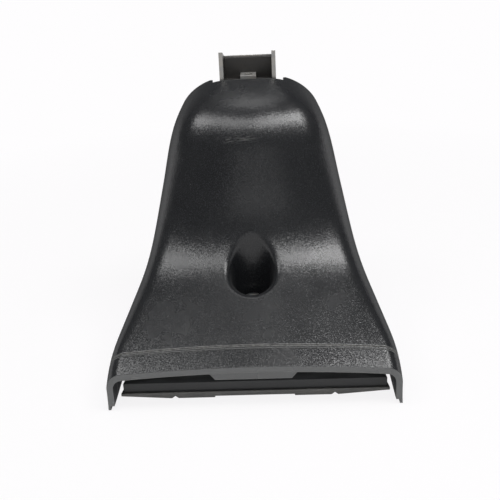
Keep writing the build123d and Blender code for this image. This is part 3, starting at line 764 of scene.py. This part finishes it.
@dataclass(frozen=True)
class Lamp:
    """A soft box that hangs round the object and is aimed at its middle.

    Args:
        name: The lamp's name.
        azimuth_deg: Its bearing, from the front towards the right.
        elevation_deg: Its height above the floor.
        watts: Its power.
        distance_mm: How far from the object it hangs.
        width_mm: The width of its lit face.
        depth_mm: The height of its lit face.
    """

    name: str
    azimuth_deg: float
    elevation_deg: float
    watts: float
    distance_mm: float = 700.0
    width_mm: float = 230.0
    depth_mm: float = 180.0

    def hang(self, target: Vector) -> None:
        """Hangs the lamp.

        Args:
            target: The point it is aimed at, in metres.
        """
        light = bpy.data.lights.new(self.name, "AREA")
        light.shape = "RECTANGLE"
        light.size = self.width_mm * MM
        light.size_y = self.depth_mm * MM
        light.energy = self.watts
        side, lift = math.radians(self.azimuth_deg), math.radians(self.elevation_deg)
        away = Vector((math.sin(side) * math.cos(lift), -math.cos(side) * math.cos(lift), math.sin(lift)))
        box = bpy.data.objects.new(self.name, light)
        box.location = target + away * self.distance_mm * MM
        box.rotation_euler = away.to_track_quat("Z", "Y").to_euler()
        bpy.context.collection.objects.link(box)
        LOG.info("lamp %s: %.2f W", self.name, self.watts)


@dataclass
class Studio:
    """A pale floor, soft light and the camera of the product picture.

    Args:
        lens_mm: The camera's focal length.
        sensor_mm: The width of its sensor.
        distance_mm: How far it stands from its target.
        elevation_deg: How far it looks down.
        yaw_deg: How far it stands to the right of the middle.
        roll_deg: How far it is tilted.
        clip_mm: The nearest distance it sees.
        target_mm: The point that the camera and the lamps are aimed at.
        paper: The floor's finish.
        floor_mm: The radius of the flat floor.
        gap_mm: How far the floor lies under the object.
        sweep_mm: The radius of the curve between the floor and its wall.
        wall_mm: The height of the wall.
        wall_steps: How many steps the curve has.
        round_steps: How many steps the floor's rim has.
        lamps: The soft boxes.
        haze: The colour of the even light in the room.
        fill: The strength of that light.
    """

    lens_mm: float = 57.6
    sensor_mm: float = 36.0
    distance_mm: float = 383.6
    elevation_deg: float = 23.92
    yaw_deg: float = 2.25
    roll_deg: float = -2.76
    clip_mm: float = 10.0
    target_mm: tuple[float, float, float] = (-0.96, -9.0, 51.16)
    paper: PalePaper = PalePaper("paper_sweep_pale")
    floor_mm: float = 800.0
    gap_mm: float = 0.02
    sweep_mm: float = 200.0
    wall_mm: float = 330.0
    wall_steps: int = 12
    round_steps: int = 96
    lamps: tuple[Lamp, ...] = (
        Lamp("key", 44.0, 67.5, 1.25),
        Lamp("key_side", 78.0, 58.0, 1.6),
        Lamp("middle", 0.0, 69.0, 0.55),
        Lamp("left", -46.0, 67.5, 0.6),
        Lamp("left_side", -78.0, 57.0, 0.95),
        Lamp("top", 180.0, 74.0, 0.35),
        Lamp("front", 4.0, 27.0, 0.24, width_mm=460.0, depth_mm=120.0),
    )
    haze: str = "#fdfdff"
    fill: float = 0.16

    def camera(self) -> None:
        """Places the camera: it looks down on the front, a little from the right and slightly tilted."""
        lift, yaw, roll = (math.radians(a) for a in (self.elevation_deg, self.yaw_deg, self.roll_deg))
        target = Vector(self.target_mm) * MM
        back = Vector((math.cos(lift) * math.sin(yaw), -math.cos(lift) * math.cos(yaw), math.sin(lift)))
        right = Vector((math.cos(yaw), math.sin(yaw), 0.0))
        up = back.cross(right)
        tilted_right = right * math.cos(roll) + up * math.sin(roll)
        tilted_up = up * math.cos(roll) - right * math.sin(roll)
        eye = bpy.data.objects.new("camera", bpy.data.cameras.new("camera"))
        eye.data.lens = self.lens_mm
        eye.data.sensor_width = self.sensor_mm
        eye.data.clip_start = self.clip_mm * MM
        turned = Matrix((tilted_right, tilted_up, back)).transposed().to_4x4()
        eye.matrix_world = Matrix.Translation(target + back * self.distance_mm * MM) @ turned
        bpy.context.collection.objects.link(eye)
        bpy.context.scene.camera = eye

    def sweep(self) -> bpy.types.Mesh:
        """Shapes the paper: a round floor that curves up into a low wall.

        Returns:
            The mesh.
        """
        rise = [math.radians(90 * step / self.wall_steps) for step in range(self.wall_steps + 1)]
        profile = [(self.floor_mm + self.sweep_mm * math.sin(a), self.sweep_mm * (1 - math.cos(a)))
                   for a in rise]
        profile.append((self.floor_mm + self.sweep_mm, self.wall_mm))
        turn = [math.tau * step / self.round_steps for step in range(self.round_steps)]
        points = [(r * math.cos(a) * MM, r * math.sin(a) * MM, z * MM) for r, z in profile for a in turn]
        faces = [tuple(range(self.round_steps))]
        for ring in range(len(profile) - 1):
            for step in range(self.round_steps):
                here, there = (ring * self.round_steps + s % self.round_steps for s in (step, step + 1))
                faces.append((here, here + self.round_steps, there + self.round_steps, there))
        mesh = bpy.data.meshes.new("floor")
        mesh.from_pydata(points, [], faces)
        mesh.shade_smooth()
        mesh.polygons[0].use_smooth = False
        return mesh

    def floor(self) -> None:
        """Lays the paper just under the object."""
        mesh = self.sweep()
        mesh.materials.append(self.paper.material())
        ground = bpy.data.objects.new("floor", mesh)
        ground.location.z = cad_box[0][2] - self.gap_mm * MM
        bpy.context.collection.objects.link(ground)

    def room(self) -> None:
        """Fills the room above the sweep with dim, even light."""
        world = bpy.data.worlds.new("studio")
        world.use_nodes = True
        tree = world.node_tree
        tree.nodes.clear()
        fill = add_node(tree, "ShaderNodeBackground", {}, {
            "Color": linear(self.haze), "Strength": self.fill}).outputs["Background"]
        add_node(tree, "ShaderNodeOutputWorld", {}, {"Surface": fill})
        bpy.context.scene.world = world

    def build(self) -> None:
        """Sets up the floor, the light and the camera."""
        bpy.context.scene.view_settings.view_transform = "Standard"
        self.floor()
        self.room()
        for lamp in self.lamps:
            lamp.hang(Vector(self.target_mm) * MM)
        self.camera()


def main() -> None:
    """Dresses the sub-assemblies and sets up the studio."""
    logging.basicConfig(level=logging.INFO, format="%(message)s")
    for part in (Hood(), Shoe(), Post(), ClampScrew()):
        part.dress()
    Studio().build()


if __name__ == "__main__":
    main()
